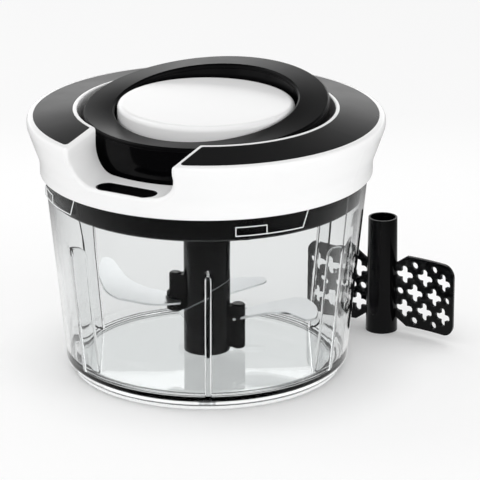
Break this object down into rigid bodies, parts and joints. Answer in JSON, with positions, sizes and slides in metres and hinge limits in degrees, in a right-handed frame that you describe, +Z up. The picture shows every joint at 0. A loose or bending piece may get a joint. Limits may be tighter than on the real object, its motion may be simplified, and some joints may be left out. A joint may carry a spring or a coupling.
{
  "type": "pull-string food chopper",
  "caption": "Pull-string food chopper: clear bowl, white lid with a black ring handle on a sprung cord, curved blades on a column, and a mixing paddle beside it.",
  "frame": {"origin": "middle of the bowl's underside, on the table", "axes": "+Z up along the bowl's and drive shaft's axis; -Y towards the finger trough under the ring handle's front"},
  "size_m": [0.211, 0.1979, 0.1616],
  "materials": {
    "clear_plastic": "clear gloss",
    "clear_silicone": "clear satin",
    "grey_silicone": "matte",
    "white_plastic": "gloss",
    "black_plastic": "gloss",
    "black_soft_plastic": "satin",
    "blade_steel": "ground",
    "turned_steel": "turned",
    "spring_steel": "blued",
    "brass": "turned",
    "black_nylon": "matte",
    "cord": "braided"
  },
  "bodies": {
    "bowl": {"bowl": "clear_plastic", "bowl_pivot_pin": "turned_steel", "base_pad": "clear_silicone"},
    "seal": {"lid_seal": "grey_silicone"},
    "lid": {"lid_shell": "white_plastic", "lid_tray": "black_plastic", "lid_collar": "black_plastic", "grip_pad": "black_soft_plastic", "boss_cap": "white_plastic", "slot_liner": "black_plastic", "spring_cup": "black_plastic", "spring_cover": "black_plastic", "recoil_spring": "spring_steel", "lower_shaft_bush": "brass", "upper_shaft_bush": "brass", "tray_screws": "turned_steel", "shell_screws": "turned_steel", "spring_screws": "turned_steel", "cord_outlet_bush": "brass", "cord_guide_pin": "turned_steel", "cord_run": "cord", "cord_lead": "cord"},
    "spool": {"cord_spool": "black_plastic", "cord_winding": "cord", "drive_shaft": "turned_steel", "drive_dog": "black_nylon", "spring_arbor": "black_nylon", "shaft_clip": "spring_steel", "shaft_washer": "turned_steel"},
    "handle": {"handle_ring": "black_plastic", "handle_cover": "black_soft_plastic", "cord_anchor": "brass", "handle_screws": "turned_steel"},
    "blades": {"blade_sleeve": "black_plastic", "blade_hub": "black_plastic", "blade_upper": "blade_steel", "blade_lower": "blade_steel", "blade_rear": "blade_steel", "blade_rivets": "turned_steel", "pivot_bush": "brass"},
    "paddle": {"mixing_paddle": "black_plastic"}
  },
  "joints": [
    {"name": "lid_lift", "type": "slide", "parent": "bowl", "child": "seal", "axis": [0, 0, 1], "range_m": [0, 0.15]},
    {"name": "lid_turn", "type": "hinge", "parent": "seal", "child": "lid", "pos_m": [0, 0, 0.118], "axis": [0, 0, -1], "range_deg": [0, 13]},
    {"name": "handle_pull", "type": "slide", "parent": "lid", "child": "handle", "axis": [0, 0, 1], "range_m": [0, 0.4], "stiffness_N_per_m": 15, "springref_m": -0.3, "deforming": ["cord_lead"]},
    {"name": "spool_spin", "type": "hinge", "parent": "lid", "child": "spool", "pos_m": [0, 0, 0.11], "axis": [0, 0, 1], "range_deg": [0, 1440]},
    {"name": "blade_spin", "type": "hinge", "parent": "bowl", "child": "blades", "pos_m": [0, 0, 0.03], "axis": [0, 0, 1], "range_deg": [0, 1440]},
    {"name": "paddle_lift", "type": "slide", "parent": "bowl", "child": "paddle", "axis": [0, 0, 1], "range_m": [0, 0.05]}
  ],
  "couplings": [
    {"joint": "spool_spin", "follows": "handle_pull", "rad_per_m": 62.5},
    {"joint": "blade_spin", "follows": "handle_pull", "rad_per_m": 62.5}
  ]
}
